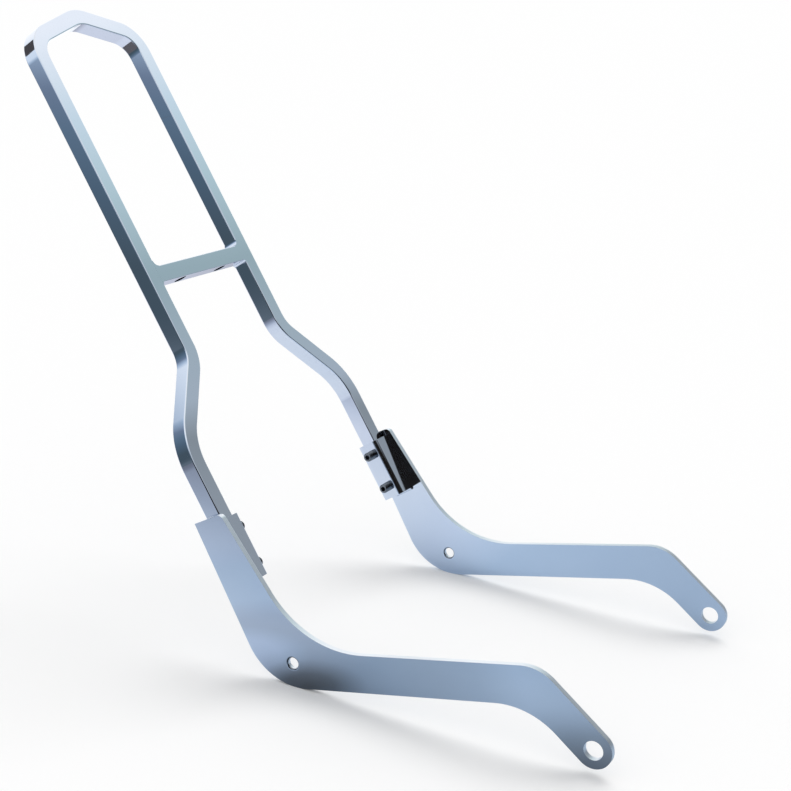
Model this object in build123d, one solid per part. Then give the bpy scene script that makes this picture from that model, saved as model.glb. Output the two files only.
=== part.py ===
from build123d import *
import math
import os

# Sissy bar: a bent square-bar hoop whose legs slide into square receivers on two side plates.
# Millimetres. The origin is midway between the rear mounting holes, +X is the machine's right,
# +Y runs forward to the front mounting holes, and +Z is up.

# Hoop bar
bar_size = 13.5
bar_edge_radius = 1.0
hoop_lean = 33.4
hoop_setback = 5.75
upper_leg_x = 65.0
bend_height = 183.2
bend_rise = 60.3
bend_lower_radius = 53.5
bend_upper_radius = 29.0
shoulder_height = 526.1
shoulder_radius = 23.5
peak_rise = 19.2
peak_radius = 35.0

# Crossbar between the legs, with two holes for a back pad
crossbar_height = 315.6
crossbar_width = 13.8
crossbar_edge_radius = 0.6
crossbar_top_fillet = 5.0
crossbar_bottom_fillet = 2.0
pad_hole_diameter = 10.5
pad_hole_spacing = 55.5

# Receivers, pieces of square tube on the plates' inner faces, with weld up to their outer corners
receiver_wall = 3.7
receiver_corner_radius = 4.5
receiver_bottom = 67.5
receiver_length = 52.0
bar_clearance = 0.15
foot_inset = 1.0

# Set screws through the receivers' inner walls
screw_diameter = 8.0
screw_length = 12.0
screw_spacing = 31.0
screw_chamfer = 0.8
socket_flats = 4.0
socket_depth = 4.5
thread_clearance = 0.05
screw_seat_gap = 0.03

# Side plates
plate_gap = 257.2
plate_thickness = 4.76
plate_edge_chamfer = 0.5
hole_spacing = 240.0
rear_hole_diameter = 8.7
front_hole_diameter = 14.3
front_eye_radius = 13.6
arm_pitch = 11.9
arm_width = 29.2
arm_drop = 19.8
eye_pitch = 37.2
rear_edge_pitch = 59.4
front_edge_pitch = 50.5
plate_top_margin = 6.6
plate_top_fall = 2.1
plate_rear_margin = 1.35
plate_front_margin = 3.5
plate_corner_radius = 4.5
heel_radius = 48.4
throat_radius = 82.0
arm_upper_radius = 31.0
arm_lower_radius = 58.0

# Places that follow from the sizes above
half_bar = bar_size / 2
weld_reach = 0.8 * bar_edge_radius
plate_inner_x = plate_gap / 2
receiver_bore = bar_size + 2 * bar_clearance
receiver_outer = receiver_bore + 2 * receiver_wall
lower_leg_x = plate_inner_x - receiver_outer / 2
receiver_top = receiver_bottom + receiver_length
foot_height = receiver_bottom + foot_inset
peak_height = shoulder_height + peak_rise
screw_inner_x = lower_leg_x - half_bar - screw_seat_gap
screw_heights = [receiver_bottom + receiver_length / 2 + side * screw_spacing / 2 for side in (-1, 1)]

# The hoop's own plane lies on its front face: local X across, local Y up the legs, local Z backwards.
lean = math.radians(hoop_lean)
up_the_leg = Vector(0, -math.sin(lean), math.cos(lean))
backwards = Vector(0, -math.cos(lean), -math.sin(lean))
hoop_plane = Plane(origin=backwards * hoop_setback, x_dir=(1, 0, 0), z_dir=backwards)


def side_point(height, depth):
    """Side-view point (y, z) at a height up the legs and a depth behind the hoop's front face."""
    place = backwards * (hoop_setback + depth) + up_the_leg * height
    return place.Y, place.Z


def meet(point_a, pitch_a, point_b, pitch_b):
    """Side-view point where two lines cross, each given by a point and its pitch in degrees."""
    ay, az = math.cos(math.radians(pitch_a)), math.sin(math.radians(pitch_a))
    by, bz = math.cos(math.radians(pitch_b)), math.sin(math.radians(pitch_b))
    dy, dz = point_b[0] - point_a[0], point_b[1] - point_a[1]
    along = (dy * bz - dz * by) / (ay * bz - az * by)
    return point_a[0] + along * ay, point_a[1] + along * az


def beside(point, pitch, distance):
    """Side-view point at a distance square to a pitched line, upwards where it is positive."""
    angle = math.radians(pitch)
    return point[0] - distance * math.sin(angle), point[1] + distance * math.cos(angle)


def plate_profile():
    """Plate outline with its two holes, drawn in the side view with the rear hole at the origin."""
    eye = (hole_spacing, 0)
    arm_bottom = beside((0, 0), arm_pitch, -arm_drop)
    arm_top = beside(arm_bottom, arm_pitch, arm_width)
    eye_top = beside(eye, -eye_pitch, front_eye_radius)
    eye_bottom = beside(eye, -eye_pitch, -front_eye_radius)
    receiver_front = -(bar_clearance + receiver_wall)
    receiver_rear = bar_size + bar_clearance + receiver_wall
    top_rear = side_point(receiver_top + plate_top_margin, receiver_rear + plate_rear_margin)
    top_front = side_point(
        receiver_top + plate_top_margin - plate_top_fall, receiver_front - plate_front_margin
    )
    corners = [
        (top_rear, 0),
        (top_front, plate_corner_radius),
        (meet(top_front, -front_edge_pitch, arm_top, arm_pitch), throat_radius),
        (meet(arm_top, arm_pitch, eye_top, -eye_pitch), arm_upper_radius),
        (eye_top, 0),
        (eye_bottom, 0),
        (meet(arm_bottom, arm_pitch, eye_bottom, -eye_pitch), arm_lower_radius),
        (meet(top_rear, -rear_edge_pitch, arm_bottom, arm_pitch), heel_radius),
    ]
    points = [corner for corner, _ in corners]
    radii = [radius for _, radius in corners]
    outline = make_face(FilletPolyline(*points, radius=radii, close=True))
    profile = outline + Pos(*eye) * Circle(front_eye_radius)
    return profile - Circle(rear_hole_diameter / 2) - Pos(*eye) * Circle(front_hole_diameter / 2)


def side_plate(side):
    """One flat side plate, its inner face towards the middle, with its edges broken."""
    inner = Plane(origin=(side * plate_inner_x, 0, 0), x_dir=(0, 1, 0), z_dir=(1, 0, 0))
    plate = extrude(inner * plate_profile(), amount=side * plate_thickness)
    faces = plate.faces().filter_by(Axis.X)
    return chamfer([edge for face in faces for edge in face.outer_wire().edges()], plate_edge_chamfer)


def bent_bar():
    """The square bar in the hoop's plane: two feet, two S-bends, two shoulders and a peak."""
    half = [
        ((lower_leg_x, foot_height), 0),
        ((lower_leg_x, bend_height), bend_lower_radius),
        ((upper_leg_x, bend_height + bend_rise), bend_upper_radius),
        ((upper_leg_x, shoulder_height), shoulder_radius),
    ]
    mirrored = [((-x, height), radius) for (x, height), radius in reversed(half)]
    corners = half + [((0, peak_height), peak_radius)] + mirrored
    points = [corner for corner, _ in corners]
    radii = [radius for _, radius in corners[1:-1]]
    path = Pos(0, 0, half_bar) * FilletPolyline(*points, radius=radii)
    start = Plane(origin=path @ 0, x_dir=(1, 0, 0), z_dir=path % 0)
    return sweep(start * RectangleRounded(bar_size, bar_size, bar_edge_radius), path)


def crossbar(hoop):
    """The bar across the hoop, flared and ground flush into the legs, and drilled for a pad."""
    reach = upper_leg_x - half_bar
    low = crossbar_height - crossbar_width / 2
    high = crossbar_height + crossbar_width / 2
    outline = Pos(0, crossbar_height) * Rectangle(2 * (reach + weld_reach), crossbar_width)
    for side in (-1, 1):
        for edge, radius, way in ((high, crossbar_top_fillet, 1), (low, crossbar_bottom_fillet, -1)):
            gusset_x = side * (reach + (weld_reach - radius) / 2)
            gusset = Pos(gusset_x, edge + way * radius / 2) * Rectangle(radius + weld_reach, radius)
            outline += gusset - Pos(side * (reach - radius), edge + way * radius) * Circle(radius)
    bar = extrude(outline, amount=bar_size)
    long_edges = bar.edges().filter_by(Axis.X).filter_by(lambda edge: edge.length > reach)
    bar = fillet(long_edges, crossbar_edge_radius)
    drill = Cylinder(pad_hole_diameter / 2, 2 * crossbar_width, rotation=(90, 0, 0))
    for side in (-1, 1):
        bar -= Pos(side * pad_hole_spacing / 2, crossbar_height, half_bar) * drill
    return bar - hoop


def receiver(side):
    """One square tube that takes a leg's foot, with two tapped holes in its inner wall."""
    weld_fill = Pos(side * receiver_outer / 4, 0) * Rectangle(receiver_outer / 2, receiver_outer)
    outer = RectangleRounded(receiver_outer, receiver_outer, receiver_corner_radius) + weld_fill
    bore = RectangleRounded(receiver_bore, receiver_bore, bar_edge_radius)
    base = Plane(
        origin=(side * lower_leg_x, receiver_bottom, half_bar), x_dir=(1, 0, 0), z_dir=(0, 1, 0)
    )
    tube = extrude(base * (outer - bore), amount=receiver_length)
    tapped = Cylinder(screw_diameter / 2 + thread_clearance, 2 * receiver_wall, rotation=(0, 90, 0))
    inner_wall_x = lower_leg_x - receiver_outer / 2 + receiver_wall / 2
    for height in screw_heights:
        tube -= Pos(side * inner_wall_x, height, half_bar) * tapped
    return hoop_plane * tube


def set_screw():
    """One socket set screw along +Z, its point at the origin and its hex socket at the far end."""
    body = Cylinder(screw_diameter / 2, screw_length, align=(Align.CENTER, Align.CENTER, Align.MIN))
    body = chamfer(body.edges().filter_by(GeomType.CIRCLE), screw_chamfer)
    hexagon = RegularPolygon(socket_flats / 2, 6, major_radius=False)
    return body - Pos(0, 0, screw_length - socket_depth) * extrude(hexagon, amount=2 * socket_depth)


def set_screws():
    """The four set screws, two a side, each bearing on the inner face of its leg."""
    screws = []
    for side in (-1, 1):
        for height in screw_heights:
            seat = Plane(
                origin=(side * screw_inner_x, height, half_bar), x_dir=(0, 1, 0), z_dir=(-side, 0, 0)
            )
            screws.append(hoop_plane * (seat * set_screw()))
    return Compound(children=screws)


hoop_bar = bent_bar()
nodes = {
    "upright_hoop": hoop_plane * hoop_bar,
    "crossbar": hoop_plane * crossbar(hoop_bar),
    "side_plate_right": side_plate(1),
    "side_plate_left": side_plate(-1),
    "receiver_right": receiver(1),
    "receiver_left": receiver(-1),
    "set_screws": set_screws(),
}

os.makedirs("parts", exist_ok=True)
for name, shape in nodes.items():
    export_step(shape, os.path.join("parts", name + ".step"))
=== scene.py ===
"""Chrome sissy bar: a square-bar hoop in receivers on two flat side plates, on a pale floor."""
import logging
import math
from dataclasses import dataclass
from enum import Enum
from functools import reduce
from typing import Callable, Iterable, Mapping

import bmesh
import bpy
from mathutils import Matrix, Vector


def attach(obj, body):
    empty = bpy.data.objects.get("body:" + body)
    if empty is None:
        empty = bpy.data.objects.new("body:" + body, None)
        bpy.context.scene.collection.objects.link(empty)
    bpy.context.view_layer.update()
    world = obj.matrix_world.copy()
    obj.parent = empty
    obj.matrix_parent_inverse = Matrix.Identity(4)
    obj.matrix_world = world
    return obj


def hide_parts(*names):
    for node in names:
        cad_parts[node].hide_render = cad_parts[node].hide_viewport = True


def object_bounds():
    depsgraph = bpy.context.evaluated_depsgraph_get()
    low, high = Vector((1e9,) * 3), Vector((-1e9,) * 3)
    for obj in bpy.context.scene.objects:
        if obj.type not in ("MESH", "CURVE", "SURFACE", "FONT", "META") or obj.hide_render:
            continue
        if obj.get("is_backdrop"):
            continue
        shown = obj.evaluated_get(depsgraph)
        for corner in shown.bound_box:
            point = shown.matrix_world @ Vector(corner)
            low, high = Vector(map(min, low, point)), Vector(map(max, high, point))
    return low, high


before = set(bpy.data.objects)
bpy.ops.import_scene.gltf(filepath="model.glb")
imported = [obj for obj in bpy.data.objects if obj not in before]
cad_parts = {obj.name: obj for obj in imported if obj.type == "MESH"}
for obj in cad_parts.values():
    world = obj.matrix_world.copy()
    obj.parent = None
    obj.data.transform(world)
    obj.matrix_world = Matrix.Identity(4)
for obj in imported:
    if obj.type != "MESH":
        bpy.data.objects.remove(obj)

LOG = logging.getLogger("sissy_bar")
BODY = "root"
MILLIMETRE = 0.001
QUARTER_TURN = math.radians(90.0)
ARC_STEP = math.radians(3.0)
FEWEST_ARC_STEPS = 2
SHORTEST_RUN = 1e-6
MERGE_REACH = 0.001
CUTTER_SIDES = 96
DRILL_REACH = 4
BREAK_STEPS = 3
SMOOTH_ANGLE = math.radians(40.0)
FLAT_WEIGHT = 100
RIM_TOLERANCE = 0.01
WHITE = (1.0, 1.0, 1.0)

Shade = tuple[float, float, float]
Span = tuple[float, float]
Socket = bpy.types.NodeSocket
Source = Socket | float | tuple[float, ...]
Inputs = Mapping[str | int, Source]


class Side(Enum):
    """The machine's two sides, by the sign of their X."""

    RIGHT = 1
    LEFT = -1


class Slot(Enum):
    """The material slots."""

    BAR = "polished_bar"
    PLATE = "polished_plate"
    TUBE = "polished_tube"
    SCREW = "screw_steel"


class Bench:
    """Operator steps that every piece is made with, in millimetres before it is placed."""

    @staticmethod
    def deselect() -> None:
        """Leaves nothing selected in the scene."""
        bpy.ops.object.select_all(action="DESELECT")

    @staticmethod
    def adopt(name: str) -> bpy.types.Object:
        """Names the new primitive and puts its place into its mesh.

        Args:
            name: the piece's name.

        Returns:
            The new object, at the origin.
        """
        piece = bpy.context.object
        piece.name = name
        piece.data.name = name
        bpy.ops.object.transform_apply(location=True, rotation=True, scale=True)
        return piece

    @staticmethod
    def activate(piece: bpy.types.Object) -> None:
        """Makes one object the only selected one, and the active one.

        Args:
            piece: the object.
        """
        Bench.deselect()
        piece.select_set(True)
        bpy.context.view_layer.objects.active = piece

    @staticmethod
    def edit() -> None:
        """Enters edit mode with all of the mesh selected."""
        bpy.ops.object.mode_set(mode="EDIT")
        bpy.ops.mesh.select_mode(type="VERT")
        bpy.ops.mesh.select_all(action="SELECT")

    @staticmethod
    def leave() -> None:
        """Goes back to object mode."""
        bpy.ops.object.mode_set(mode="OBJECT")

    @staticmethod
    def pick(piece: bpy.types.Object, mode: str, wanted: Callable[..., bool]) -> None:
        """Selects the vertices or the edges that pass a test, in edit mode.

        Args:
            piece: the object in edit mode.
            mode: the select mode, VERT or EDGE.
            wanted: says whether a vertex or an edge is to be selected.
        """
        bpy.ops.mesh.select_mode(type=mode)
        bpy.ops.mesh.select_all(action="DESELECT")
        shape = bmesh.from_edit_mesh(piece.data)
        for element in shape.edges if mode == "EDGE" else shape.verts:
            if wanted(element):
                element.select_set(True)
        shape.select_flush_mode()
        bmesh.update_edit_mesh(piece.data)

    @staticmethod
    def run(edge: bmesh.types.BMEdge) -> Vector:
        """The way from an edge's first end to its second."""
        return edge.verts[1].co - edge.verts[0].co

    @staticmethod
    def bevel_edges(
        piece: bpy.types.Object,
        wanted: Callable[[bmesh.types.BMEdge], bool],
        width: float,
        segments: int,
    ) -> None:
        """Rounds or chamfers the edges that pass a test.

        Args:
            piece: the object.
            wanted: says whether an edge is to be bevelled.
            width: the bevel's width.
            segments: the bevel's steps, one for a chamfer.
        """
        Bench.activate(piece)
        Bench.edit()
        Bench.pick(piece, "EDGE", wanted)
        bpy.ops.mesh.bevel(offset=width, segments=segments, affect="EDGES")
        Bench.leave()

    @staticmethod
    def join(pieces: Iterable[bpy.types.Object]) -> bpy.types.Object:
        """Joins pieces into the first of them.

        Args:
            pieces: the objects to join.

        Returns:
            The joined object.
        """
        pieces = list(pieces)
        Bench.activate(pieces[0])
        for piece in pieces:
            piece.select_set(True)
        bpy.ops.object.join()
        return bpy.context.object

    @staticmethod
    def close_up() -> None:
        """Merges doubles, points all faces outwards and leaves edit mode."""
        bpy.ops.mesh.select_all(action="SELECT")
        bpy.ops.mesh.remove_doubles(threshold=MERGE_REACH)
        bpy.ops.mesh.normals_make_consistent(inside=False)
        Bench.leave()

    @staticmethod
    def weld(piece: bpy.types.Object, reach: float) -> None:
        """Closes the hairline edges that cutting leaves.

        Args:
            piece: the object that was cut.
            reach: the longest edge that is closed.
        """
        Bench.activate(piece)
        Bench.edit()
        bpy.ops.mesh.remove_doubles(threshold=reach)
        bpy.ops.mesh.dissolve_degenerate(threshold=reach)
        bpy.ops.mesh.delete_loose()
        Bench.leave()

    @staticmethod
    def modify(piece: bpy.types.Object, kind: str, **settings: object) -> None:
        """Adds a modifier to a piece and applies it.

        Args:
            piece: the object.
            kind: the modifier's type.
            settings: the modifier's settings.
        """
        Bench.activate(piece)
        modifier = piece.modifiers.new(kind.lower(), kind)
        for name, setting in settings.items():
            setattr(modifier, name, setting)
        bpy.ops.object.modifier_apply(modifier=modifier.name)

    @staticmethod
    def combine(piece: bpy.types.Object, tool: bpy.types.Object, operation: str) -> None:
        """Cuts a piece with a tool body, by DIFFERENCE or INTERSECT, and removes the tool."""
        Bench.modify(piece, "BOOLEAN", operation=operation, solver="EXACT", object=tool)
        bpy.data.objects.remove(tool)

    @staticmethod
    def drill(
        piece: bpy.types.Object, radius: float, wall: float, place: Vector, turn: Vector
    ) -> None:
        """Drills one round hole right through.

        Args:
            piece: the object that is drilled.
            radius: the hole's radius.
            wall: the thickness that the drill goes through.
            place: the drill's middle.
            turn: the drill's rotation from +Z, in radians.
        """
        Bench.deselect()
        bpy.ops.mesh.primitive_cylinder_add(
            vertices=CUTTER_SIDES, radius=radius, depth=DRILL_REACH * wall,
            location=place, rotation=turn,
        )
        Bench.combine(piece, Bench.adopt("drill"), "DIFFERENCE")

    @staticmethod
    def break_edges(piece: bpy.types.Object, width: float) -> None:
        """Rounds all edges sharper than the smooth angle.

        Args:
            piece: the object whose edges are broken.
            width: the rounding's width.
        """
        Bench.modify(
            piece, "BEVEL", width=width, segments=BREAK_STEPS, limit_method="ANGLE",
            angle_limit=SMOOTH_ANGLE,
        )

    @staticmethod
    def polish_normals(piece: bpy.types.Object) -> None:
        """Shades a piece smooth with its flats kept flat.

        Args:
            piece: the finished object.
        """
        Bench.activate(piece)
        bpy.ops.object.shade_smooth_by_angle(angle=SMOOTH_ANGLE)
        Bench.modify(piece, "WEIGHTED_NORMAL", weight=FLAT_WEIGHT, keep_sharp=True)

    @staticmethod
    def copy(piece: bpy.types.Object, name: str) -> bpy.types.Object:
        """Copies a piece with a mesh of its own.

        Args:
            piece: the object to copy.
            name: the copy's name.

        Returns:
            The copy.
        """
        twin = piece.copy()
        twin.data = piece.data.copy()
        twin.name = name
        twin.data.name = name
        bpy.context.scene.collection.objects.link(twin)
        return twin

    @staticmethod
    def place(piece: bpy.types.Object, matrix: Matrix) -> None:
        """Moves a piece to its place in the shared frame, with the place in its mesh.

        Args:
            piece: the object, modelled in millimetres.
            matrix: its turn and shift, in millimetres.
        """
        Bench.activate(piece)
        piece.matrix_world = Matrix.Scale(MILLIMETRE, 4) @ matrix
        bpy.context.view_layer.update()
        bpy.ops.object.transform_apply(location=True, rotation=True, scale=True)


@dataclass(frozen=True)
class Corner:
    """A corner of a path, with the radius that rounds it."""

    x: float
    y: float
    radius: float = 0.0

    @property
    def point(self) -> Vector:
        """The corner's place in its plane."""
        return Vector((self.x, self.y))

    def mirrored(self) -> "Corner":
        """The same corner on the other side of X = 0."""
        return Corner(-self.x, self.y, self.radius)


@dataclass(frozen=True)
class RoundedPath:
    """A run of straight lines with rounded corners, in the XY plane."""

    corners: tuple[Corner, ...]

    def carry(self, height: float = 0.0) -> None:
        """Carries what is selected along the path: straights by extrude, corners by spin.

        Args:
            height: the Z of the path's plane.
        """
        here = self.corners[0].point
        for before, corner, after in zip(self.corners, self.corners[1:], self.corners[2:]):
            arriving = (corner.point - before.point).normalized()
            leaving = (after.point - corner.point).normalized()
            across = arriving.x * leaving.y - arriving.y * leaving.x
            turn = math.atan2(across, arriving.dot(leaving))
            tangent = corner.radius * math.tan(abs(turn) / 2)
            here = self._straight(here, corner.point - arriving * tangent)
            if corner.radius:
                inward = Vector((-arriving.y, arriving.x)) * math.copysign(corner.radius, turn)
                centre = here + inward
                # The operator turns clockwise about its axis.
                bpy.ops.mesh.spin(
                    steps=max(FEWEST_ARC_STEPS, math.ceil(abs(turn) / ARC_STEP)),
                    angle=-turn,
                    center=(centre.x, centre.y, height),
                    axis=(0, 0, 1),
                )
                here = corner.point + leaving * tangent
        self._straight(here, self.corners[-1].point)

    @staticmethod
    def _straight(here: Vector, there: Vector) -> Vector:
        """Extrudes what is selected from one point to another.

        Args:
            here: the start.
            there: the end.

        Returns:
            The end.
        """
        step = there - here
        if step.length > SHORTEST_RUN:
            bpy.ops.mesh.extrude_region_move(TRANSFORM_OT_translate={"value": (step.x, step.y, 0)})
        return there

    def plate(self, name: str, thickness: float) -> bpy.types.Object:
        """Makes a flat plate with this closed path as its outline, from Z = 0 upwards.

        Args:
            name: the plate's name.
            thickness: the plate's thickness.

        Returns:
            The plate.
        """
        start = self.corners[0]
        Bench.deselect()
        bpy.ops.mesh.primitive_plane_add(size=thickness, location=(start.x, start.y, 0))
        plate = Bench.adopt(name)
        Bench.edit()
        bpy.ops.mesh.merge(type="CENTER")
        self.carry()
        bpy.ops.mesh.select_all(action="SELECT")
        bpy.ops.mesh.remove_doubles(threshold=MERGE_REACH)
        bpy.ops.mesh.edge_face_add()
        bpy.ops.mesh.extrude_region_move(TRANSFORM_OT_translate={"value": (0, 0, thickness)})
        Bench.close_up()
        return plate


@dataclass(frozen=True)
class HoopPlane:
    """The leaning plane of the hoop's front face: X across, Y up the legs, Z backwards."""

    lean: float = 33.4
    setback: float = 5.75

    @property
    def matrix(self) -> Matrix:
        """The plane's turn and shift, in millimetres."""
        turn = Matrix.Rotation(math.radians(90.0 + self.lean), 4, "X")
        return turn @ Matrix.Translation((0, 0, self.setback))

    def side_view(self, height: float, depth: float) -> Vector:
        """The side-view point at a height up the legs and a depth behind the front face."""
        place = self.matrix @ Vector((0, height, depth))
        return Vector((place.y, place.z))


@dataclass(frozen=True)
class Shading:
    """A node tree, with short ways to add what the finishes and the studio have in common."""

    tree: bpy.types.NodeTree

    def feed(self, node: bpy.types.Node, inputs: Inputs) -> None:
        """Links or sets a node's inputs.

        Args:
            node: the node.
            inputs: what each input takes: another node's output, a number or a shade.
        """
        for name, source in inputs.items():
            socket = node.inputs[name]
            if isinstance(source, Socket):
                self.tree.links.new(source, socket)
            elif socket.type == "RGBA":
                socket.default_value = (*source, 1.0)
            else:
                socket.default_value = source

    def add(self, kind: str, inputs: Inputs | None = None, **choices: object) -> bpy.types.Node:
        """Adds a node.

        Args:
            kind: the node's type.
            inputs: what its inputs take.
            choices: the node's own settings, such as its operation.

        Returns:
            The node.
        """
        node = self.tree.nodes.new(kind)
        for name, choice in choices.items():
            setattr(node, name, choice)
        self.feed(node, inputs or {})
        return node

    def axes(self, vector: Socket) -> Mapping[str, Socket]:
        """Splits a vector into its X, Y and Z."""
        return self.add("ShaderNodeSeparateXYZ", {"Vector": vector}).outputs

    def reckon(self, operation: str, *values: Source) -> Socket:
        """Reckons with numbers, by one of the operations of a maths node."""
        inputs = dict(enumerate(values))
        return self.add("ShaderNodeMath", inputs, operation=operation).outputs["Value"]

    def soft_step(self, measure: Socket, span: Span, values: Span = (0.0, 1.0)) -> Socket:
        """Adds a soft step from one value to another.

        Args:
            measure: what the step follows.
            span: where the step starts and ends.
            values: what it gives before and after.

        Returns:
            The step's value.
        """
        inputs = {
            "Value": measure, "From Min": span[0], "From Max": span[1],
            "To Min": values[0], "To Max": values[1],
        }
        step = self.add("ShaderNodeMapRange", inputs, interpolation_type="SMOOTHSTEP")
        return step.outputs["Result"]

    def blend(self, factor: Socket, first: Source, second: Source) -> Socket:
        """Blends from a first shade to a second."""
        inputs = {"Factor": factor, "A": first, "B": second}
        return self.add("ShaderNodeMix", inputs, data_type="RGBA").outputs["Result"]

    def multiply(self, first: Socket, second: Socket) -> Socket:
        """Multiplies two shades."""
        product = self.add("ShaderNodeVectorMath", {0: first, 1: second}, operation="MULTIPLY")
        return product.outputs["Vector"]

    def mix_shaders(self, factor: Socket, first: Socket, second: Socket) -> Socket:
        """Mixes from a first shader to a second."""
        mix = self.add("ShaderNodeMixShader", {"Fac": factor, 1: first, 2: second})
        return mix.outputs["Shader"]


class BuffingGroup:
    """The marks that buffing leaves on plated steel, shared by all finishes."""

    NAME = "buffing"
    INPUTS = {
        "Place": "Vector", "Dark Tone": "Color", "Light Tone": "Color", "Smoothest": "Float",
        "Haziest": "Float", "Cloud Scale": "Float", "Wave Scale": "Float",
    }
    OUTPUTS = {"Tone": "Color", "Roughness": "Float", "Waves": "Float"}
    CLOUD_DETAIL = 4.0
    CLOUD_SPAN = (0.3, 0.7)
    WAVE_DETAIL = 1.0

    @classmethod
    def tree(cls) -> bpy.types.NodeTree:
        """Returns the group, built at its first use."""
        return bpy.data.node_groups.get(cls.NAME) or cls._build()

    @classmethod
    def _build(cls) -> bpy.types.NodeTree:
        """Builds the group from cloud, haze and wave patterns.

        Returns:
            The node group.
        """
        tree = bpy.data.node_groups.new(cls.NAME, "ShaderNodeTree")
        for way, sockets in (("INPUT", cls.INPUTS), ("OUTPUT", cls.OUTPUTS)):
            for name, kind in sockets.items():
                tree.interface.new_socket(name, in_out=way, socket_type="NodeSocket" + kind)
        shading = Shading(tree)
        given = shading.add("NodeGroupInput").outputs
        clouds = shading.add("ShaderNodeTexNoise", {
            "Vector": given["Place"], "Scale": given["Cloud Scale"], "Detail": cls.CLOUD_DETAIL,
        }).outputs["Fac"]
        waves = shading.add("ShaderNodeTexNoise", {
            "Vector": given["Place"], "Scale": given["Wave Scale"], "Detail": cls.WAVE_DETAIL,
        }).outputs["Fac"]
        haze = shading.add("ShaderNodeMapRange", {
            "Value": clouds, "From Min": cls.CLOUD_SPAN[0], "From Max": cls.CLOUD_SPAN[1],
            "To Min": given["Smoothest"], "To Max": given["Haziest"],
        }).outputs["Result"]
        tone = shading.blend(clouds, given["Dark Tone"], given["Light Tone"])
        shading.add("NodeGroupOutput", {"Tone": tone, "Roughness": haze, "Waves": waves})
        return tree


@dataclass(frozen=True)
class PolishedChrome:
    """A plated and buffed finish: two close tones, a little haze and slow waves in the surface."""

    name: str
    dark_tone: Shade
    light_tone: Shade
    smoothest: float
    haziest: float
    cloud_scale: float
    wave_scale: float
    wave_height: float

    def material(self) -> bpy.types.Material:
        """Builds the finish's material.

        Returns:
            The material.
        """
        finish = bpy.data.materials.new(self.name)
        finish.use_nodes = True
        shading = Shading(finish.node_tree)
        buffing = shading.add("ShaderNodeGroup", {
            "Place": shading.add("ShaderNodeTexCoord").outputs["Object"],
            "Dark Tone": self.dark_tone, "Light Tone": self.light_tone,
            "Smoothest": self.smoothest, "Haziest": self.haziest,
            "Cloud Scale": self.cloud_scale, "Wave Scale": self.wave_scale,
        }, node_tree=BuffingGroup.tree()).outputs
        bump = shading.add("ShaderNodeBump", {
            "Distance": self.wave_height * MILLIMETRE, "Height": buffing["Waves"],
        })
        shading.feed(finish.node_tree.nodes["Principled BSDF"], {
            "Metallic": 1.0, "Base Color": buffing["Tone"], "Roughness": buffing["Roughness"],
            "Normal": bump.outputs["Normal"],
        })
        return finish


@dataclass(frozen=True)
class EdgedChrome(PolishedChrome):
    """Plated sheet with hazy brushed rims, paler as a painted highlight, and a painted dark line on
    its broken edges.
    """

    # A painted dark line for the broken edges, and a painted highlight for the rims.
    edge_painted_shade: Shade = (0.22, 0.24, 0.27)
    rim_highlight_tone: Shade = (0.90, 0.92, 0.94)
    rim_haze: float = 0.45
    face_turn: Span = (0.90, 0.97)
    rim_turn: Span = (0.15, 0.35)

    def material(self) -> bpy.types.Material:
        """Builds the buffed finish, then its rims with their painted highlight and its broken edges
        with their painted dark line.

        Returns:
            The material.
        """
        finish = super().material()
        shading = Shading(finish.node_tree)
        shader = finish.node_tree.nodes["Principled BSDF"]
        tone, haze = (
            shader.inputs[name].links[0].from_socket for name in ("Base Color", "Roughness")
        )
        surface = shading.add("ShaderNodeNewGeometry").outputs["Normal"]
        turned = shading.reckon("ABSOLUTE", shading.axes(surface)["X"])
        off_face = shading.soft_step(turned, self.face_turn, (1.0, 0.0))
        off_rim = shading.soft_step(turned, self.rim_turn)
        on_rim = shading.soft_step(turned, self.rim_turn, (1.0, 0.0))
        edge = shading.reckon("MULTIPLY", off_face, off_rim)
        # Painted reflection: the broken edges get a dark line, standing in for the dark that they
        # reflect.
        edge_shaded = shading.blend(edge, tone, self.edge_painted_shade)
        brushed = shading.add("ShaderNodeMix", {"Factor": on_rim, "A": haze, "B": self.rim_haze})
        # Painted highlight: the rims get a paler tone. Their haze is the brushed finish.
        shading.feed(shader, {
            "Base Color": shading.blend(on_rim, edge_shaded, self.rim_highlight_tone),
            "Roughness": brushed.outputs["Result"],
        })
        return finish


FINISHES = {
    Slot.BAR: PolishedChrome(
        "bar_chrome", dark_tone=(0.70, 0.74, 0.81), light_tone=(0.77, 0.80, 0.85),
        smoothest=0.03, haziest=0.07, cloud_scale=9.0, wave_scale=28.0, wave_height=0.02,
    ),
    Slot.PLATE: EdgedChrome(
        "plate_chrome", dark_tone=(0.68, 0.73, 0.81), light_tone=(0.76, 0.80, 0.86),
        smoothest=0.05, haziest=0.12, cloud_scale=14.0, wave_scale=22.0, wave_height=0.03,
    ),
    Slot.TUBE: PolishedChrome(
        "tube_chrome", dark_tone=(0.68, 0.72, 0.79), light_tone=(0.76, 0.79, 0.84),
        smoothest=0.06, haziest=0.13, cloud_scale=22.0, wave_scale=35.0, wave_height=0.03,
    ),
    Slot.SCREW: PolishedChrome(
        "screw_steel", dark_tone=(0.12, 0.125, 0.135), light_tone=(0.22, 0.23, 0.245),
        smoothest=0.14, haziest=0.28, cloud_scale=160.0, wave_scale=90.0, wave_height=0.02,
    ),
}


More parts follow.
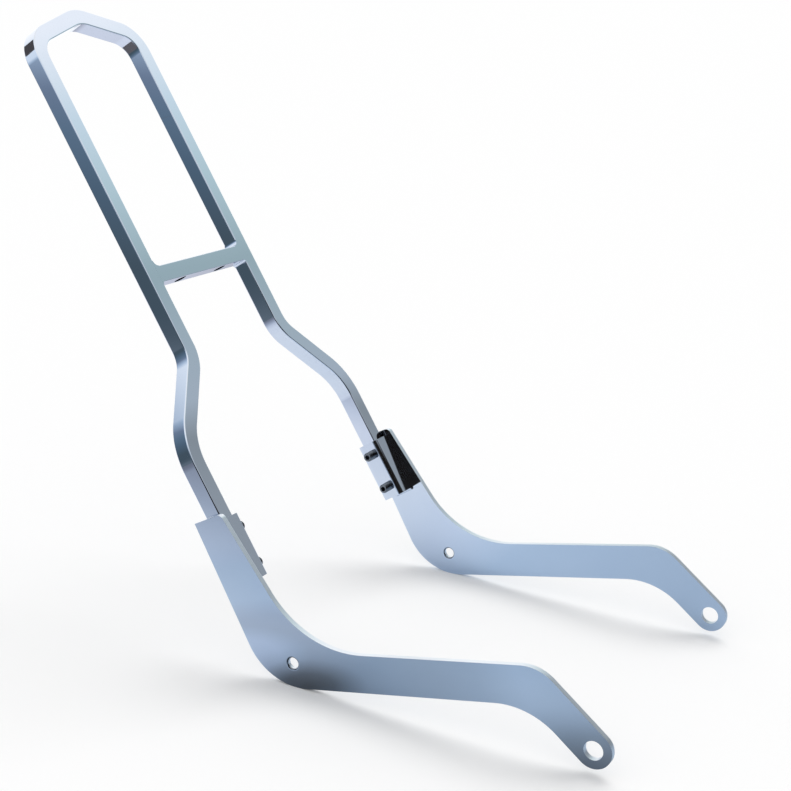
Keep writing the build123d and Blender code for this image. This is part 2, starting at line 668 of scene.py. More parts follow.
class Dresser:
    """Gives finished pieces their slot's material and their body, and hides the CAD part that each
    stands for.
    """

    def __init__(self) -> None:
        """Builds one material for each slot."""
        self.materials = {slot: finish.material() for slot, finish in FINISHES.items()}

    def dress(self, piece: bpy.types.Object, slot: Slot, node: str) -> None:
        """Dresses one piece that stands for a node.

        Args:
            piece: the finished piece, in its place.
            slot: the material slot that it takes its finish from.
            node: the node that it stands for.
        """
        piece.data.materials.clear()
        piece.data.materials.append(self.materials[slot])
        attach(piece, BODY)
        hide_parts(node)
        LOG.info("%s: %d faces, %s", piece.name, len(piece.data.polygons), slot.value)


@dataclass(frozen=True)
class Hoop:
    """The bent square bar and the crossbar welded into it, in the hoop's plane."""

    plane: HoopPlane
    bar: float = 13.5
    edge_radius: float = 1.0
    edge_steps: int = 4
    foot_height: float = 68.5
    lower_x: float = 118.0
    upper_x: float = 65.0
    bend_height: float = 183.2
    bend_rise: float = 60.3
    lower_radius: float = 53.5
    upper_radius: float = 29.0
    shoulder_height: float = 526.1
    shoulder_radius: float = 23.5
    peak_rise: float = 19.2
    peak_radius: float = 35.0
    foot_chamfer: float = 0.8
    crossbar_height: float = 315.6
    crossbar_width: float = 13.8
    crossbar_edge: float = 0.6
    weld_reach: float = 0.8
    top_fillet: float = 5.0
    bottom_fillet: float = 2.0
    pad_hole: float = 10.5
    pad_spacing: float = 55.5
    pad_rim: float = 0.2

    def path(self) -> RoundedPath:
        """Draws the bar's centre line from the right foot over the peak to the left foot.

        Returns:
            The centre line.
        """
        right = (
            Corner(self.lower_x, self.foot_height),
            Corner(self.lower_x, self.bend_height, self.lower_radius),
            Corner(self.upper_x, self.bend_height + self.bend_rise, self.upper_radius),
            Corner(self.upper_x, self.shoulder_height, self.shoulder_radius),
        )
        peak = Corner(0, self.shoulder_height + self.peak_rise, self.peak_radius)
        return RoundedPath(right + (peak,) + tuple(corner.mirrored() for corner in reversed(right)))

    def build_bar(self) -> bpy.types.Object:
        """Carries the square section along the centre line.

        Returns:
            The bent bar, in its place.
        """
        Bench.deselect()
        bpy.ops.mesh.primitive_plane_add(
            size=self.bar,
            location=(self.lower_x, self.foot_height, self.bar / 2),
            rotation=(QUARTER_TURN, 0, 0),
        )
        bar = Bench.adopt("hoop_bar")
        Bench.edit()
        bpy.ops.mesh.bevel(offset=self.edge_radius, segments=self.edge_steps, affect="VERTICES")
        bpy.ops.mesh.select_all(action="SELECT")
        self.path().carry(self.bar / 2)
        Bench.close_up()
        Bench.break_edges(bar, self.foot_chamfer)
        Bench.polish_normals(bar)
        Bench.place(bar, self.plane.matrix)
        return bar

    def crossbar_path(self) -> RoundedPath:
        """Draws the crossbar's outline, flared where the welds are ground into the legs.

        Returns:
            The closed outline, from the middle of the lower edge.
        """
        leg = self.upper_x - self.bar / 2
        end = leg + self.weld_reach
        low = self.crossbar_height - self.crossbar_width / 2
        high = self.crossbar_height + self.crossbar_width / 2
        right = (
            Corner(leg, low, self.bottom_fillet),
            Corner(leg, low - self.bottom_fillet),
            Corner(end, low - self.bottom_fillet),
            Corner(end, high + self.top_fillet),
            Corner(leg, high + self.top_fillet),
            Corner(leg, high, self.top_fillet),
        )
        middle = Corner(0, low)
        left = tuple(corner.mirrored() for corner in reversed(right))
        return RoundedPath((middle,) + right + left + (middle,))

    def build_crossbar(self) -> bpy.types.Object:
        """Cuts the crossbar to its outline, rounds its long edges and drills it for a pad.

        Returns:
            The crossbar, in its place.
        """
        crossbar = self.crossbar_path().plate("crossbar_rung", self.bar)
        Bench.bevel_edges(crossbar, self._is_long_edge, self.crossbar_edge, self.edge_steps)
        turn = Vector((QUARTER_TURN, 0, 0))
        for side in Side:
            place = Vector((side.value * self.pad_spacing / 2, self.crossbar_height, self.bar / 2))
            Bench.drill(crossbar, self.pad_hole / 2, self.crossbar_width, place, turn)
        Bench.bevel_edges(crossbar, self._is_hole_rim, self.pad_rim, self.edge_steps)
        Bench.polish_normals(crossbar)
        Bench.place(crossbar, self.plane.matrix)
        return crossbar

    def _is_long_edge(self, edge: bmesh.types.BMEdge) -> bool:
        """Whether an edge runs along the straight part of the crossbar."""
        straight = self.upper_x - self.bar / 2 - self.top_fillet
        return abs(Bench.run(edge).x) > straight / 2

    def _is_hole_rim(self, edge: bmesh.types.BMEdge) -> bool:
        """Whether an edge lies on the rim of a pad hole.

        Args:
            edge: the edge.

        Returns:
            True for a rim's edge.
        """
        axis = Vector((self.pad_spacing / 2, self.bar / 2))
        reaches = [(Vector((abs(vert.co.x), vert.co.z)) - axis).length for vert in edge.verts]
        on_bore = all(abs(reach - self.pad_hole / 2) < RIM_TOLERANCE for reach in reaches)
        return on_bore and abs(Bench.run(edge).y) < RIM_TOLERANCE

    def build(self, dresser: Dresser) -> None:
        """Builds and dresses the bar and the crossbar."""
        dresser.dress(self.build_bar(), Slot.BAR, "upright_hoop")
        dresser.dress(self.build_crossbar(), Slot.BAR, "crossbar")


@dataclass(frozen=True)
class Receivers:
    """The two square tubes that take the hoop's feet, each with a weld bead under its lower end."""

    plane: HoopPlane
    hoop: Hoop
    wall: float = 3.7
    clearance: float = 0.15
    corner_radius: float = 4.5
    corner_steps: int = 6
    bottom: float = 67.5
    length: float = 52.0
    edge_break: float = 0.4
    tapped_radius: float = 4.05
    bead_radius: float = 1.5
    bead_inset: float = 0.75
    bead_drop: float = 0.5
    bead_swell: float = 1.2
    bead_ripples: int = 9
    ripple_shares: tuple[float, float, float] = (0.4, 0.4, 0.2)
    bead_sides: int = 14
    bead_levels: int = 1
    hairline: float = 0.002

    @property
    def bore(self) -> float:
        """The bore's width."""
        return self.hoop.bar + 2 * self.clearance

    @property
    def outer(self) -> float:
        """The tube's width."""
        return self.bore + 2 * self.wall

    def build_tube(self, screw_heights: Iterable[float]) -> bpy.types.Object:
        """Makes the right tube: two rounded squares bridged, extruded and drilled.

        Args:
            screw_heights: the heights of the tapped holes up the leg.

        Returns:
            The tube, still in the hoop's plane.
        """
        centre = (self.hoop.lower_x, self.bottom, self.hoop.bar / 2)
        flat = (QUARTER_TURN, 0, 0)
        Bench.deselect()
        bpy.ops.mesh.primitive_plane_add(size=self.outer, location=centre, rotation=flat)
        tube = Bench.adopt("receiver_tube")
        Bench.edit()
        Bench.pick(tube, "VERT", lambda vert: vert.co.x < self.hoop.lower_x)
        bpy.ops.mesh.bevel(offset=self.corner_radius, segments=self.corner_steps, affect="VERTICES")
        bpy.ops.mesh.select_all(action="DESELECT")
        bpy.ops.mesh.primitive_plane_add(size=self.bore, location=centre, rotation=flat)
        bpy.ops.mesh.bevel(
            offset=self.hoop.edge_radius, segments=self.corner_steps, affect="VERTICES"
        )
        bpy.ops.mesh.select_all(action="SELECT")
        bpy.ops.mesh.delete(type="ONLY_FACE")
        bpy.ops.mesh.select_all(action="SELECT")
        bpy.ops.mesh.bridge_edge_loops()
        bpy.ops.mesh.select_all(action="SELECT")
        bpy.ops.mesh.extrude_region_move(TRANSFORM_OT_translate={"value": (0, self.length, 0)})
        Bench.close_up()
        inner_wall = self.hoop.lower_x - self.outer / 2 + self.wall / 2
        turn = Vector((0, QUARTER_TURN, 0))
        for height in screw_heights:
            place = Vector((inner_wall, height, self.hoop.bar / 2))
            Bench.drill(tube, self.tapped_radius, self.wall, place, turn)
        Bench.break_edges(tube, self.edge_break)
        Bench.weld(tube, self.hairline)
        tube = Bench.join((tube, self.build_bead()))
        Bench.polish_normals(tube)
        return tube

    def build_bead(self) -> bpy.types.Object:
        """Draws the rippled weld bead along the tube's lower end, in the corner with the plate.

        Returns:
            The bead, still in the hoop's plane.
        """
        across = self.hoop.lower_x + self.outer / 2 - self.bead_inset
        height = self.bottom - self.bead_drop
        depth = self.hoop.bar / 2 - self.outer / 2 + self.bead_radius
        step = (self.outer - 2 * self.bead_radius) / self.bead_ripples
        Bench.deselect()
        bpy.ops.mesh.primitive_circle_add(
            vertices=self.bead_sides, radius=self.bead_radius, fill_type="NGON",
            location=(across, height, depth),
        )
        bead = Bench.adopt("weld_bead")
        Bench.edit()
        swells = (self.bead_swell, 1.0, 1.0 / self.bead_swell)
        for share, swell in tuple(zip(self.ripple_shares, swells)) * self.bead_ripples:
            rise = step * share
            depth += rise
            bpy.ops.mesh.extrude_region_move(TRANSFORM_OT_translate={"value": (0, 0, rise)})
            bpy.ops.transform.resize(
                value=(swell, swell, 1.0), center_override=(across, height, depth)
            )
        Bench.close_up()
        Bench.modify(bead, "SUBSURF", levels=self.bead_levels, render_levels=self.bead_levels)
        return bead

    def build(self, dresser: Dresser, screw_heights: Iterable[float]) -> None:
        """Builds and dresses both tubes.

        Args:
            dresser: gives the pieces their finish.
            screw_heights: the heights of the tapped holes up the leg.
        """
        right = self.build_tube(screw_heights)
        left = Bench.copy(right, "receiver_tube_left")
        right.name = "receiver_tube_right"
        depth = self.hoop.bar / 2
        about = Matrix.Translation((0, 0, depth)) @ Matrix.Rotation(math.pi, 4, "Y")
        half_turn = about @ Matrix.Translation((0, 0, -depth))
        Bench.place(right, self.plane.matrix)
        Bench.place(left, self.plane.matrix @ half_turn)
        dresser.dress(right, Slot.TUBE, "receiver_right")
        dresser.dress(left, Slot.TUBE, "receiver_left")


@dataclass(frozen=True)
class SetScrews:
    """Four socket set screws with cut threads, two through the inner wall of each receiver."""

    plane: HoopPlane
    hoop: Hoop
    radius: float = 4.0
    length: float = 12.0
    pitch: float = 1.25
    thread_depth: float = 0.75
    land_share: float = 0.125
    lead_turns: int = 2
    spare_turns: int = 3
    turn_steps: int = 36
    smooth_angle: float = 30.0
    chamfer: float = 0.8
    blank_margin: float = 0.01
    socket_sides: int = 6
    socket_flats: float = 4.0
    socket_depth: float = 4.5
    seat_gap: float = 0.03
    spacing: float = 31.0
    middle_height: float = 93.5
    hairline: float = 0.01

    @property
    def heights(self) -> tuple[float, float]:
        """The two heights up the leg."""
        return (self.middle_height - self.spacing / 2, self.middle_height + self.spacing / 2)

    def _thread(self) -> bpy.types.Object:
        """Winds one thread tooth up a rod along +Z with the screw modifier.

        Returns:
            The threaded rod, longer than the screw at both ends.
        """
        root = self.radius - self.thread_depth
        start = -self.lead_turns * self.pitch
        Bench.deselect()
        bpy.ops.mesh.primitive_plane_add(size=self.pitch, location=(root, 0, start))
        rod = Bench.adopt("set_screw")
        Bench.edit()
        bpy.ops.mesh.merge(type="CENTER")
        rise, land = self.radius - root, self.pitch * self.land_share
        flank = (self.pitch - 2 * land) / 2
        for step in ((0, 0, land), (rise, 0, flank), (0, 0, land), (-rise, 0, flank)):
            bpy.ops.mesh.extrude_region_move(TRANSFORM_OT_translate={"value": step})
        Bench.leave()
        Bench.modify(
            rod, "SCREW", axis="Z", screw_offset=self.pitch,
            iterations=math.ceil(self.length / self.pitch) + self.spare_turns,
            steps=self.turn_steps, render_steps=self.turn_steps,
            use_merge_vertices=True, merge_threshold=MERGE_REACH,
        )
        return rod

    def build_screw(self) -> bpy.types.Object:
        """Makes one screw with its point at Z = 0 and its socket at the far end.

        Returns:
            The screw.
        """
        rod = self._thread()
        Bench.activate(rod)
        for height, upper in ((self.length, True), (0.0, False)):
            Bench.edit()
            bpy.ops.mesh.bisect(
                plane_co=(0, 0, height), plane_no=(0, 0, 1), use_fill=True,
                clear_outer=upper, clear_inner=not upper,
            )
            Bench.leave()
        Bench.edit()
        Bench.close_up()
        Bench.combine(rod, self._blank(), "INTERSECT")
        Bench.combine(rod, self._hex_drill(), "DIFFERENCE")
        Bench.weld(rod, self.hairline)
        bpy.ops.object.shade_smooth_by_angle(angle=math.radians(self.smooth_angle))
        return rod

    def _blank(self) -> bpy.types.Object:
        """Makes the chamfered blank that trims both ends of the thread.

        Returns:
            The blank.
        """
        Bench.deselect()
        bpy.ops.mesh.primitive_cylinder_add(
            vertices=CUTTER_SIDES, radius=self.radius + self.blank_margin, depth=self.length,
            location=(0, 0, self.length / 2),
        )
        blank = Bench.adopt("blank")
        Bench.bevel_edges(
            blank, lambda edge: abs(Bench.run(edge).z) < RIM_TOLERANCE, self.chamfer, segments=1
        )
        return blank

    def _hex_drill(self) -> bpy.types.Object:
        """Makes the hexagon drill that cuts the socket.

        Returns:
            The drill.
        """
        Bench.deselect()
        bpy.ops.mesh.primitive_cylinder_add(
            vertices=self.socket_sides, radius=self.socket_flats / math.sqrt(3.0),
            depth=2 * self.socket_depth, location=(0, 0, self.length),
        )
        return Bench.adopt("hex_drill")

    def build(self, dresser: Dresser) -> None:
        """Models one screw, copies it to its four places and joins them as one set.

        Args:
            dresser: gives the set its finish.
        """
        pattern = self.build_screw()
        tip = self.hoop.lower_x - self.hoop.bar / 2 - self.seat_gap
        screws = []
        for side in Side:
            inwards = Matrix.Rotation(-side.value * QUARTER_TURN, 4, "Y")
            for height in self.heights:
                screw = Bench.copy(pattern, "set_screw_copy")
                seat = Matrix.Translation((side.value * tip, height, self.hoop.bar / 2))
                Bench.place(screw, self.plane.matrix @ seat @ inwards)
                screws.append(screw)
        bpy.data.objects.remove(pattern)
        bundle = Bench.join(screws)
        bundle.name = "set_screw_bundle"
        dresser.dress(bundle, Slot.SCREW, "set_screws")


@dataclass(frozen=True)
class SidePlates:
    """The two flat side plates, drawn in the side view with the rear hole at the origin."""

    plane: HoopPlane
    hoop: Hoop
    receivers: Receivers
    gap: float = 257.2
    thickness: float = 4.76
    edge_break: float = 0.6
    hole_spacing: float = 240.0
    rear_hole: float = 8.7
    rear_rim: float = 1.6
    rim_steps: int = 6
    front_hole: float = 14.3
    eye_radius: float = 13.6
    arm_pitch: float = 11.9
    arm_width: float = 29.2
    arm_drop: float = 19.8
    eye_pitch: float = -37.2
    rear_pitch: float = -59.4
    front_pitch: float = -50.5
    top_margin: float = 6.6
    top_fall: float = 2.1
    rear_margin: float = 1.35
    front_margin: float = 3.5
    corner_radius: float = 4.5
    heel_radius: float = 48.4
    throat_radius: float = 82.0
    arm_upper_radius: float = 31.0
    arm_lower_radius: float = 58.0

    @staticmethod
    def _along(pitch: float) -> Vector:
        """The direction of a line at a pitch in degrees."""
        return Vector((math.cos(math.radians(pitch)), math.sin(math.radians(pitch))))

    @classmethod
    def _beside(cls, point: Vector, pitch: float, distance: float) -> Vector:
        """The point at a distance square to a pitched line, upwards where it is positive."""
        way = cls._along(pitch)
        return point + Vector((-way.y, way.x)) * distance

    @classmethod
    def _meet(cls, start: Vector, start_pitch: float, end: Vector, end_pitch: float) -> Vector:
        """Finds where two pitched lines cross.

        Args:
            start: a point on the first line.
            start_pitch: the first line's pitch in degrees.
            end: a point on the second line.
            end_pitch: the second line's pitch in degrees.

        Returns:
            The crossing.
        """
        first, second = cls._along(start_pitch), cls._along(end_pitch)
        apart = end - start
        spread = first.x * second.y - first.y * second.x
        return start + first * ((apart.x * second.y - apart.y * second.x) / spread)

    def outline(self) -> RoundedPath:
        """Draws the plate's closed outline, from its upper rear corner round by the front eye.

        Returns:
            The outline.
        """
        origin, eye = Vector((0, 0)), Vector((self.hole_spacing, 0))
        skin = self.receivers.clearance + self.receivers.wall
        top = self.receivers.bottom + self.receivers.length + self.top_margin
        rear = self.plane.side_view(top, self.hoop.bar + skin + self.rear_margin)
        front = self.plane.side_view(top - self.top_fall, -skin - self.front_margin)
        arm_bottom = self._beside(origin, self.arm_pitch, -self.arm_drop)
        arm_top = self._beside(arm_bottom, self.arm_pitch, self.arm_width)
        eye_top = self._beside(eye, self.eye_pitch, self.eye_radius)
        eye_bottom = self._beside(eye, self.eye_pitch, -self.eye_radius)
        nose = self._along(self.eye_pitch) * self.eye_radius
        throat = self._meet(front, self.front_pitch, arm_top, self.arm_pitch)
        upper_bend = self._meet(arm_top, self.arm_pitch, eye_top, self.eye_pitch)
        lower_bend = self._meet(arm_bottom, self.arm_pitch, eye_bottom, self.eye_pitch)
        heel = self._meet(rear, self.rear_pitch, arm_bottom, self.arm_pitch)
        corners = (
            (rear, 0),
            (front, self.corner_radius),
            (throat, self.throat_radius),
            (upper_bend, self.arm_upper_radius),
            (eye_top + nose, self.eye_radius),
            (eye_bottom + nose, self.eye_radius),
            (lower_bend, self.arm_lower_radius),
            (heel, self.heel_radius),
            (rear, 0),
        )
        return RoundedPath(tuple(Corner(point.x, point.y, radius) for point, radius in corners))

    def build_plate(self) -> bpy.types.Object:
        """Cuts one plate to its outline, drills it and breaks its edges.

        Returns:
            The plate, flat on Z = 0.
        """
        plate = self.outline().plate("side_plate", self.thickness)
        upright = Vector((0, 0, 0))
        for diameter, along in ((self.rear_hole, 0.0), (self.front_hole, self.hole_spacing)):
            Bench.drill(plate, diameter / 2, self.thickness, Vector((along, 0, 0)), upright)
        Bench.bevel_edges(plate, self._is_rear_rim, self.rear_rim, self.rim_steps)
        Bench.break_edges(plate, self.edge_break)
        Bench.polish_normals(plate)
        return plate

    def _is_rear_rim(self, edge: bmesh.types.BMEdge) -> bool:
        """Whether an edge lies on a rim of the rear hole, which buffing has rounded.

        Args:
            edge: the edge.

        Returns:
            True for a rim's edge.
        """
        reaches = [vert.co.xy.length for vert in edge.verts]
        on_bore = all(abs(reach - self.rear_hole / 2) < RIM_TOLERANCE for reach in reaches)
        return on_bore and abs(Bench.run(edge).z) < RIM_TOLERANCE

    def build(self, dresser: Dresser) -> None:
        """Builds and dresses both plates.

        Args:
            dresser: gives the plates their finish.
        """
        right = self.build_plate()
        left = Bench.copy(right, "side_plate_blank_left")
        right.name = "side_plate_blank_right"
        upright = Matrix.Rotation(QUARTER_TURN, 4, "Z") @ Matrix.Rotation(QUARTER_TURN, 4, "X")
        Bench.place(right, Matrix.Translation((self.gap / 2, 0, 0)) @ upright)
        Bench.place(left, Matrix.Translation((-self.gap / 2 - self.thickness, 0, 0)) @ upright)
        dresser.dress(right, Slot.PLATE, "side_plate_right")
        dresser.dress(left, Slot.PLATE, "side_plate_left")


@dataclass(frozen=True)
class Gradient:
    """A run of shades along one measure, such as a height or a distance in metres."""

    stops: tuple[tuple[float, Shade], ...]

    def link(self, shading: Shading, measure: Socket) -> Socket:
        """Adds the gradient to a node tree.

        Args:
            shading: the material's node tree.
            measure: what the gradient follows.

        Returns:
            The gradient's shade.
        """
        first, last = self.stops[0][0], self.stops[-1][0]
        inputs = {"Value": measure, "From Min": first, "From Max": last}
        share = shading.add("ShaderNodeMapRange", inputs).outputs["Result"]
        ramp = shading.add("ShaderNodeValToRGB", {"Fac": share})
        shades = ramp.color_ramp.elements
        while len(shades) < len(self.stops):
            shades.new(1.0)
        for shade, (place, colour) in zip(shades, self.stops):
            shade.position = (place - first) / (last - first)
            shade.color = (*colour, 1.0)
        return ramp.outputs["Color"]


def show_to_chrome_only(card: bpy.types.Object) -> None:
    """Makes a stage object visible in reflections alone.

    Args:
        card: the wall or card.
    """
    card.visible_camera = False
    card.visible_diffuse = False
    card.visible_shadow = False
    card.visible_transmission = False
    card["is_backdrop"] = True


def empty_material(name: str) -> tuple[bpy.types.Material, Shading]:
    """Makes a material with no nodes.

    Args:
        name: the material's name.

    Returns:
        The material and its node tree.
    """
    material = bpy.data.materials.new(name)
    material.use_nodes = True
    material.node_tree.nodes.clear()
    return material, Shading(material.node_tree)


@dataclass(frozen=True)
class TentWall:
    """The round wall of a light tent, seen only in the chrome: a glowing sheet with painted light
    and shade, black low in front and dim low down at the right.
    """

    radius: float = 0.85
    height: float = 2.0
    foot: float = -0.02
    middle: tuple[float, float] = (0.0, -0.05)
    left_slant: float = -1.2
    # Painted light and shade: each gradient is dark low down and bright higher up, the left one on
    # a slant.
    left: Gradient = Gradient((
        (-0.10, (0.34, 0.38, 0.42)), (0.05, (0.30, 0.34, 0.37)), (0.13, (0.46, 0.53, 0.60)),
        (0.42, (0.39, 0.51, 0.54)), (0.63, (0.56, 0.72, 0.76)), (0.81, (0.72, 0.86, 0.93)),
        (1.04, (1.05, 1.08, 1.13)),
    ))
    right: Gradient = Gradient((
        (0.00, (0.130, 0.170, 0.210)), (0.03, (0.085, 0.118, 0.150)), (0.06, (0.070, 0.104, 0.133)),
        (0.12, (0.070, 0.104, 0.133)), (0.22, (0.094, 0.150, 0.213)), (0.29, (0.133, 0.203, 0.287)),
        (0.34, (0.188, 0.248, 0.352)), (0.40, (0.437, 0.557, 0.718)), (0.45, (0.76, 0.87, 1.01)),
        (1.00, (1.05, 1.10, 1.17)),
    ))
    left_rear: Span = (-0.38, -0.22)
    rear_shade: Shade = (1.10, 1.12, 1.15)
    side_blend: Span = (-0.15, 0.25)
    front_azimuth: float = 35.0
    front_blend: Span = (0.22, 0.42)
    front: Gradient = Gradient((
        (0.00, (0.012, 0.010, 0.009)), (0.62, (0.012, 0.010, 0.009)), (0.70, (0.58, 0.64, 0.71)),
        (1.00, (0.62, 0.69, 0.77)), (1.40, (1.00, 1.03, 1.07)),
    ))

    def build(self) -> None:
        """Stands the wall round the object."""
        Bench.deselect()
        bpy.ops.mesh.primitive_cylinder_add(
            vertices=CUTTER_SIDES, radius=self.radius, depth=self.height, end_fill_type="NOTHING",
            location=(*self.middle, self.foot + self.height / 2),
        )
        wall = Bench.adopt("tent_wall")
        wall.data.materials.append(self._glow_paint())
        show_to_chrome_only(wall)

    def _glow_paint(self) -> bpy.types.Material:
        """Builds the wall's painted glow: a left and a right gradient blended across, and the
        front's.

        Returns:
            The wall's material.
        """
        painted_glow, shading = empty_material("tent_painted_glow")
        place = shading.add("ShaderNodeTexCoord").outputs["Object"]
        axes = shading.axes(place)
        slanted = shading.reckon("MULTIPLY_ADD", axes["Y"], self.left_slant, axes["Z"])
        behind = shading.soft_step(axes["Y"], self.left_rear)
        left = shading.blend(behind, self.rear_shade, self.left.link(shading, slanted))
        across = shading.soft_step(axes["X"], self.side_blend)
        sides = shading.blend(across, left, self.right.link(shading, axes["Z"]))
        bearing = math.radians(self.front_azimuth)
        inputs = {0: place, 1: (math.sin(bearing), math.cos(bearing), 0.0)}
        ahead = shading.add("ShaderNodeVectorMath", inputs, operation="DOT_PRODUCT")
        opening = shading.soft_step(ahead.outputs["Value"], self.front_blend)
        shade = shading.blend(opening, sides, self.front.link(shading, axes["Z"]))
        # The wall glows though it is no lamp: painted light and shade that only the chrome shows.
        glow = shading.add("ShaderNodeEmission", {"Color": shade})
        shading.add("ShaderNodeOutputMaterial", {"Surface": glow.outputs["Emission"]})
        return painted_glow


@dataclass(frozen=True)
class DarkCard:
    """A dark card in the tent, seen from its front alone and only in the chrome: painted shade on a
    bend.
    """

    name: str
    place: tuple[float, float, float]
    aim: tuple[float, float, float]
    width: float
    height: float
    shade: Shade

    def build(self) -> None:
        """Hangs the card at its place, square to the line to its aim."""
        facing = Vector(self.aim) - Vector(self.place)
        turn = facing.to_track_quat("Z", "Y").to_euler()
        Bench.deselect()
        bpy.ops.mesh.primitive_plane_add(size=1.0, location=self.place, rotation=turn)
        bpy.context.object.scale = (self.width, self.height, 1.0)
        card = Bench.adopt(self.name)
        card.data.materials.append(self._dark_glow_paint())
        show_to_chrome_only(card)

    def _dark_glow_paint(self) -> bpy.types.Material:
        """Builds the card's painted shade: a dim glow in front, and clear behind.

        Returns:
            The card's material.
        """
        dark_glow, shading = empty_material(self.name)
        dark = shading.add("ShaderNodeEmission", {"Color": self.shade}).outputs["Emission"]
        clear = shading.add("ShaderNodeBsdfTransparent").outputs["BSDF"]
        behind = shading.add("ShaderNodeNewGeometry").outputs["Backfacing"]
        painted_glow = shading.mix_shaders(behind, dark, clear)
        shading.add("ShaderNodeOutputMaterial", {"Surface": painted_glow})
        return dark_glow


# Painted shade on the right and left shoulder bends, seen only in the chrome.
CARDS = (
    DarkCard(
        "right_shoulder_flag", place=(0.098, -0.407, 0.465), aim=(0.069, -0.298, 0.428),
        width=0.068, height=0.036, shade=(0.075, 0.070, 0.075),
    ),
    DarkCard(
        "left_shoulder_flag", place=(0.024, -0.3215, 0.3557), aim=(0.017, -0.3485, 0.4517),
        width=0.110, height=0.033, shade=(0.130, 0.125, 0.138),
    ),
)


@dataclass(frozen=True)
class PaintedFloorPatch:
    """A painted patch on the floor as the chrome shows it, by distance from its middle: shadow
    where its shades are below white, a pool of light above.
    """

    middle: tuple[float, float]
    fade: Gradient

    def link(self, shading: Shading, place: Socket, level: float) -> Socket:
        """Adds the patch to a node tree.

        Args:
            shading: the floor's node tree.
            place: the place on the floor.
            level: the floor's height.

        Returns:
            The patch's shade.
        """
        inputs = {0: place, 1: (*self.middle, level)}
        away = shading.add("ShaderNodeVectorMath", inputs, operation="DISTANCE")
        return self.fade.link(shading, away.outputs["Value"])


# Painted shadows and light on the floor beside the right plate, seen only in the chrome.
PAINTED_FLOOR_PATCHES = (
    # Painted contact shadow beside the right plate's heel.
    PaintedFloorPatch((0.14, 0.01), Gradient((
        (0.000, (0.22, 0.20, 0.18)), (0.020, (0.27, 0.26, 0.25)), (0.045, (0.53, 0.54, 0.55)),
        (0.065, (0.61, 0.62, 0.63)), (0.100, (0.69, 0.69, 0.69)), (0.130, (0.79, 0.79, 0.79)),
        (0.165, WHITE),
    ))),
    # Painted pool of light just behind the heel's shadow.
    PaintedFloorPatch((0.155, -0.06), Gradient((
        (0.000, (1.50, 1.52, 1.55)), (0.030, (1.40, 1.42, 1.45)), (0.045, (1.17, 1.19, 1.20)),
        (0.055, (1.05, 1.05, 1.05)), (0.075, WHITE),
    ))),
    # Broad painted shade further out beside the right plate.
    PaintedFloorPatch((0.28, -0.13), Gradient((
        (0.00, (0.69, 0.76, 0.83)), (0.04, (0.71, 0.78, 0.84)), (0.06, (0.76, 0.81, 0.87)),
        (0.09, (0.86, 0.89, 0.93)), (0.15, (0.97, 0.98, 0.99)), (0.20, WHITE),
    ))),
    # Painted contact shadow under the right plate's front eye.
    PaintedFloorPatch((0.14, 0.25), Gradient((
        (0.000, (0.37, 0.35, 0.33)), (0.025, (0.46, 0.44, 0.42)), (0.055, (0.62, 0.62, 0.61)),
        (0.075, (0.80, 0.80, 0.80)), (0.100, (0.93, 0.93, 0.93)), (0.140, WHITE),
    ))),
)


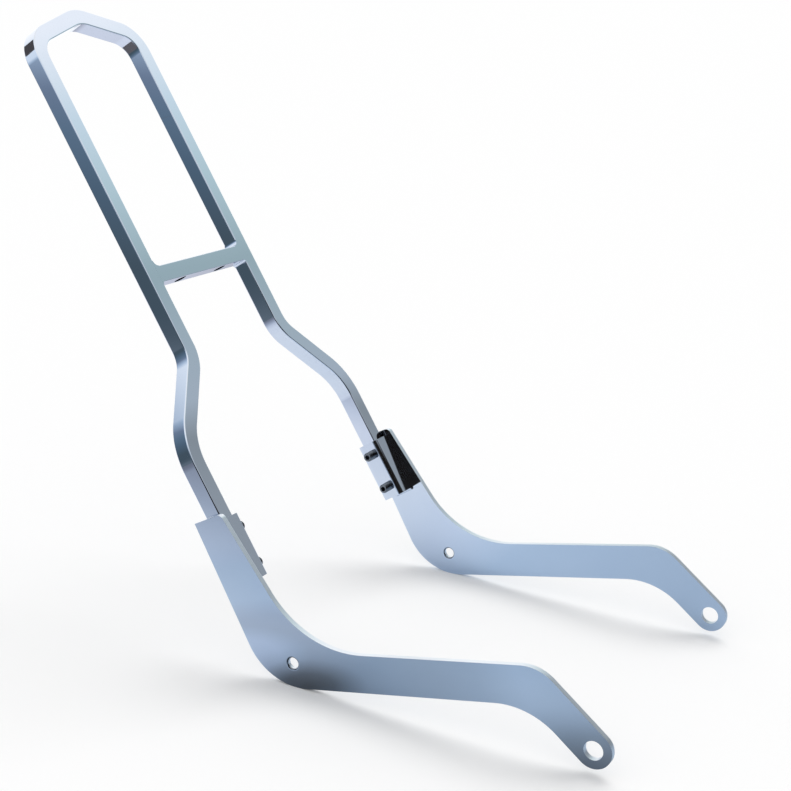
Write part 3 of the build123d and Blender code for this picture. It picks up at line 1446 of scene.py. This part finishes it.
@dataclass(frozen=True)
class Studio:
    """The pale floor, the tent, the soft light and the camera."""

    floor_level: float
    floor_size: float = 60.0
    floor_white: Shade = (0.95, 0.95, 0.95)
    # In the chrome the floor darkens forwards and far off to the sides, most to the right: painted
    # shade.
    floor_forward: Gradient = Gradient((
        (-0.45, (0.74, 0.77, 0.90)), (-0.28, (0.80, 0.85, 0.96)), (-0.14, (0.81, 0.88, 0.98)),
        (-0.04, (0.69, 0.79, 0.94)), (0.03, (0.51, 0.64, 0.80)), (0.20, (0.43, 0.54, 0.68)),
    ))
    floor_across: Gradient = Gradient((
        (-0.55, (0.66, 0.66, 0.66)), (-0.28, (0.95, 0.95, 0.95)), (-0.10, WHITE), (0.22, WHITE),
        (0.30, (0.80, 0.83, 0.86)), (0.40, (0.49, 0.53, 0.58)), (0.55, (0.28, 0.30, 0.33)),
        (0.75, (0.18, 0.20, 0.21)), (0.90, (0.17, 0.19, 0.21)),
    ))
    shade_start: Span = (0.10, 0.13)
    azimuth: float = 117.7
    elevation: float = 16.3
    roll: float = 2.46
    distance: float = 1.2593
    target: tuple[float, float, float] = (-0.0452, -0.0167, 0.1636)
    lens: float = 69.76
    sensor: float = 36.0
    clip_start: float = 0.01
    sky_light: float = 0.80
    sky_seen: float = 1.0
    sun_light: float = 0.90
    sun_angle: float = 40.0
    sun_tilt: float = -30.0

    def build_floor(self) -> None:
        """Lays the floor at the foot of the object."""
        Bench.deselect()
        bpy.ops.mesh.primitive_plane_add(size=self.floor_size, location=(0, 0, self.floor_level))
        floor = Bench.adopt("studio_floor")
        floor.data.materials.append(self._paper())
        floor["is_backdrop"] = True

    def _paper(self) -> bpy.types.Material:
        """Builds the floor's paper: white to the eye, and in the chrome pale blue with painted
        shade and painted patches of shadow and light.

        Returns:
            The floor's material.
        """
        paper, shading = empty_material("floor_paper")
        place = shading.add("ShaderNodeTexCoord").outputs["Object"]
        axes = shading.axes(place)
        # Painted shade, seen only in the chrome: darker forwards and far off to the sides.
        forward = self.floor_forward.link(shading, axes["Y"])
        painted_falloff = shading.multiply(forward, self.floor_across.link(shading, axes["X"]))
        shades = [shade.link(shading, place, self.floor_level) for shade in PAINTED_FLOOR_PATCHES]
        # Keeps the painted patches to the floor outside the right plate.
        outside = shading.soft_step(axes["X"], self.shade_start)
        painted_patches = shading.blend(outside, WHITE, reduce(shading.multiply, shades))
        white, blue = (
            shading.add("ShaderNodeBsdfDiffuse", {"Color": colour}).outputs["BSDF"]
            for colour in (self.floor_white, shading.multiply(painted_falloff, painted_patches))
        )
        in_chrome = shading.add("ShaderNodeLightPath").outputs["Is Glossy Ray"]
        surface = shading.mix_shaders(in_chrome, white, blue)
        shading.add("ShaderNodeOutputMaterial", {"Surface": surface})
        return paper

    def build_sky(self) -> None:
        """Sets the even sky, white to the eye and to the chrome."""
        sky = bpy.data.worlds.new("studio_sky")
        bpy.context.scene.world = sky
        sky.use_nodes = True
        sky.node_tree.nodes.clear()
        shading = Shading(sky.node_tree)
        even, seen = (
            shading.add("ShaderNodeBackground", {"Color": WHITE, "Strength": strength})
            for strength in (self.sky_light, self.sky_seen)
        )
        ray = shading.add("ShaderNodeLightPath").outputs
        either = shading.reckon("MAXIMUM", ray["Is Camera Ray"], ray["Is Glossy Ray"])
        mix = shading.mix_shaders(either, even.outputs["Background"], seen.outputs["Background"])
        shading.add("ShaderNodeOutputWorld", {"Surface": mix})

    def build_lamp(self) -> None:
        """Hangs one broad lamp at the left, which the chrome does not show."""
        Bench.deselect()
        bpy.ops.object.light_add(type="SUN", rotation=(0, math.radians(self.sun_tilt), 0))
        lamp = bpy.context.object
        lamp.name = "overhead_lamp"
        lamp.data.energy = self.sun_light
        lamp.data.angle = math.radians(self.sun_angle)
        lamp.visible_glossy = False

    def build_camera(self) -> None:
        """Stands the camera where the picture was taken from."""
        turn = (
            Matrix.Rotation(math.radians(self.azimuth), 4, "Z")
            @ Matrix.Rotation(math.radians(90.0 - self.elevation), 4, "X")
            @ Matrix.Rotation(math.radians(self.roll), 4, "Z")
        )
        back = Matrix.Translation((0, 0, self.distance))
        bpy.ops.object.camera_add()
        camera = bpy.context.object
        camera.matrix_world = Matrix.Translation(self.target) @ turn @ back
        camera.data.sensor_width = self.sensor
        camera.data.lens = self.lens
        camera.data.clip_start = self.clip_start
        bpy.context.scene.camera = camera

    def build(self) -> None:
        """Builds the floor, the tent, the cards, the light and the camera."""
        self.build_floor()
        TentWall().build()
        for card in CARDS:
            card.build()
        self.build_sky()
        self.build_lamp()
        self.build_camera()
        LOG.info("studio: floor at %.4f m, tent and %d cards", self.floor_level, len(CARDS))


def main() -> None:
    """Builds the hoop, receivers, screws and plates, then the studio around them."""
    logging.basicConfig(level=logging.INFO, format="%(name)s: %(message)s")
    cad_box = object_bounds()
    bpy.context.scene.view_settings.view_transform = "Standard"
    dresser = Dresser()
    plane = HoopPlane()
    hoop = Hoop(plane)
    receivers = Receivers(plane, hoop)
    screws = SetScrews(plane, hoop)
    plates = SidePlates(plane, hoop, receivers)
    hoop.build(dresser)
    receivers.build(dresser, screws.heights)
    screws.build(dresser)
    plates.build(dresser)
    Studio(floor_level=cad_box[0].z).build()


if __name__ == "__main__":
    main()
